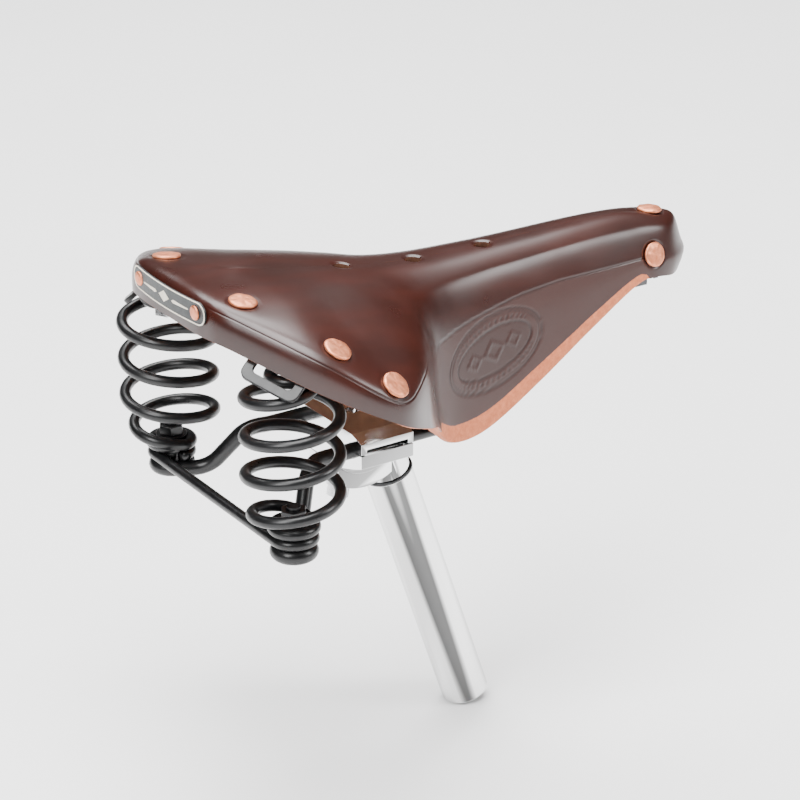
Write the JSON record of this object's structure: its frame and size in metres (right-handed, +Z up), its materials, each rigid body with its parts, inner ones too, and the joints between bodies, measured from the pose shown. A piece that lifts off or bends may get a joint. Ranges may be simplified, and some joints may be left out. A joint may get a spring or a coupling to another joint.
{
  "type": "bicycle saddle",
  "caption": "Narrow-nosed riveted leather saddle on twin coil springs, with bag loops, adjustable nose tension, and a rail clamp that tilts and slides on a bright seat post.",
  "frame": {"origin": "centre of the upper end of the seat post tube", "axes": "+X forward to the nose, +Y to the rider's left, +Z up"},
  "size_m": [0.2751, 0.1756, 0.2439],
  "materials": {
    "leather": "gloss",
    "copper": "hammered",
    "black_steel": "satin",
    "badge": "satin",
    "plate_steel": "satin",
    "bright_steel": "polished",
    "chrome": "mirror",
    "ring": "matte"
  },
  "bodies": {
    "post": {"post_tube": "chrome", "post_head": "chrome", "post_ring": "ring"},
    "clamp": {"clamp_upper": "chrome", "clamp_lower": "chrome", "clamp_bolt": "bright_steel", "clamp_washer": "bright_steel"},
    "frame": {"rail_left": "black_steel", "rail_right": "black_steel", "cross_wire": "black_steel", "rail_yoke": "plate_steel", "shackle_pin": "bright_steel", "spring_left": "black_steel", "spring_right": "black_steel", "base_bolts": "black_steel", "base_washers": "black_steel", "base_nuts": "black_steel"},
    "top": {"leather_top": "leather", "cantle_plate": "plate_steel", "spring_bridge": "plate_steel", "rear_rivets": "copper", "badge_plate": "badge", "badge_rivets": "copper", "bag_loop_left": "black_steel", "bag_loop_right": "black_steel", "top_bolts": "bright_steel", "top_nuts": "bright_steel", "shackle": "plate_steel"},
    "nut": {"tension_nut": "bright_steel"},
    "nose": {"nose_plate": "plate_steel", "nose_rivets": "copper", "tension_bolt": "bright_steel"}
  },
  "joints": [
    {"name": "clamp_tilt", "type": "hinge", "parent": "post", "child": "clamp", "pos_m": [-0.01985, 0, 0.02901], "axis": [0, 1, 0], "range_deg": [-8, 8]},
    {"name": "rail_slide", "type": "slide", "parent": "clamp", "child": "frame", "axis": [1, 0, 0], "range_m": [-0.015, 0.012]},
    {"name": "suspension", "type": "hinge", "parent": "frame", "child": "top", "pos_m": [0.12765, 0, 0.06751], "axis": [0, 1, 0], "range_deg": [-4, 0], "stiffness_Nm_per_rad": 1900, "deforming": ["spring_left", "spring_right"]},
    {"name": "tension_slide", "type": "slide", "parent": "top", "child": "nose", "axis": [1, 0, 0], "range_m": [0, 0.004], "deforming": ["leather_top"]},
    {"name": "tension_nut_turn", "type": "hinge", "parent": "top", "child": "nut", "pos_m": [0.13865, 0, 0.06751], "axis": [1, 0, 0], "range_deg": [-1, 1441]}
  ],
  "couplings": [
    {"joint": "tension_nut_turn", "follows": "tension_slide", "rad_per_m": 6283.2}
  ]
}
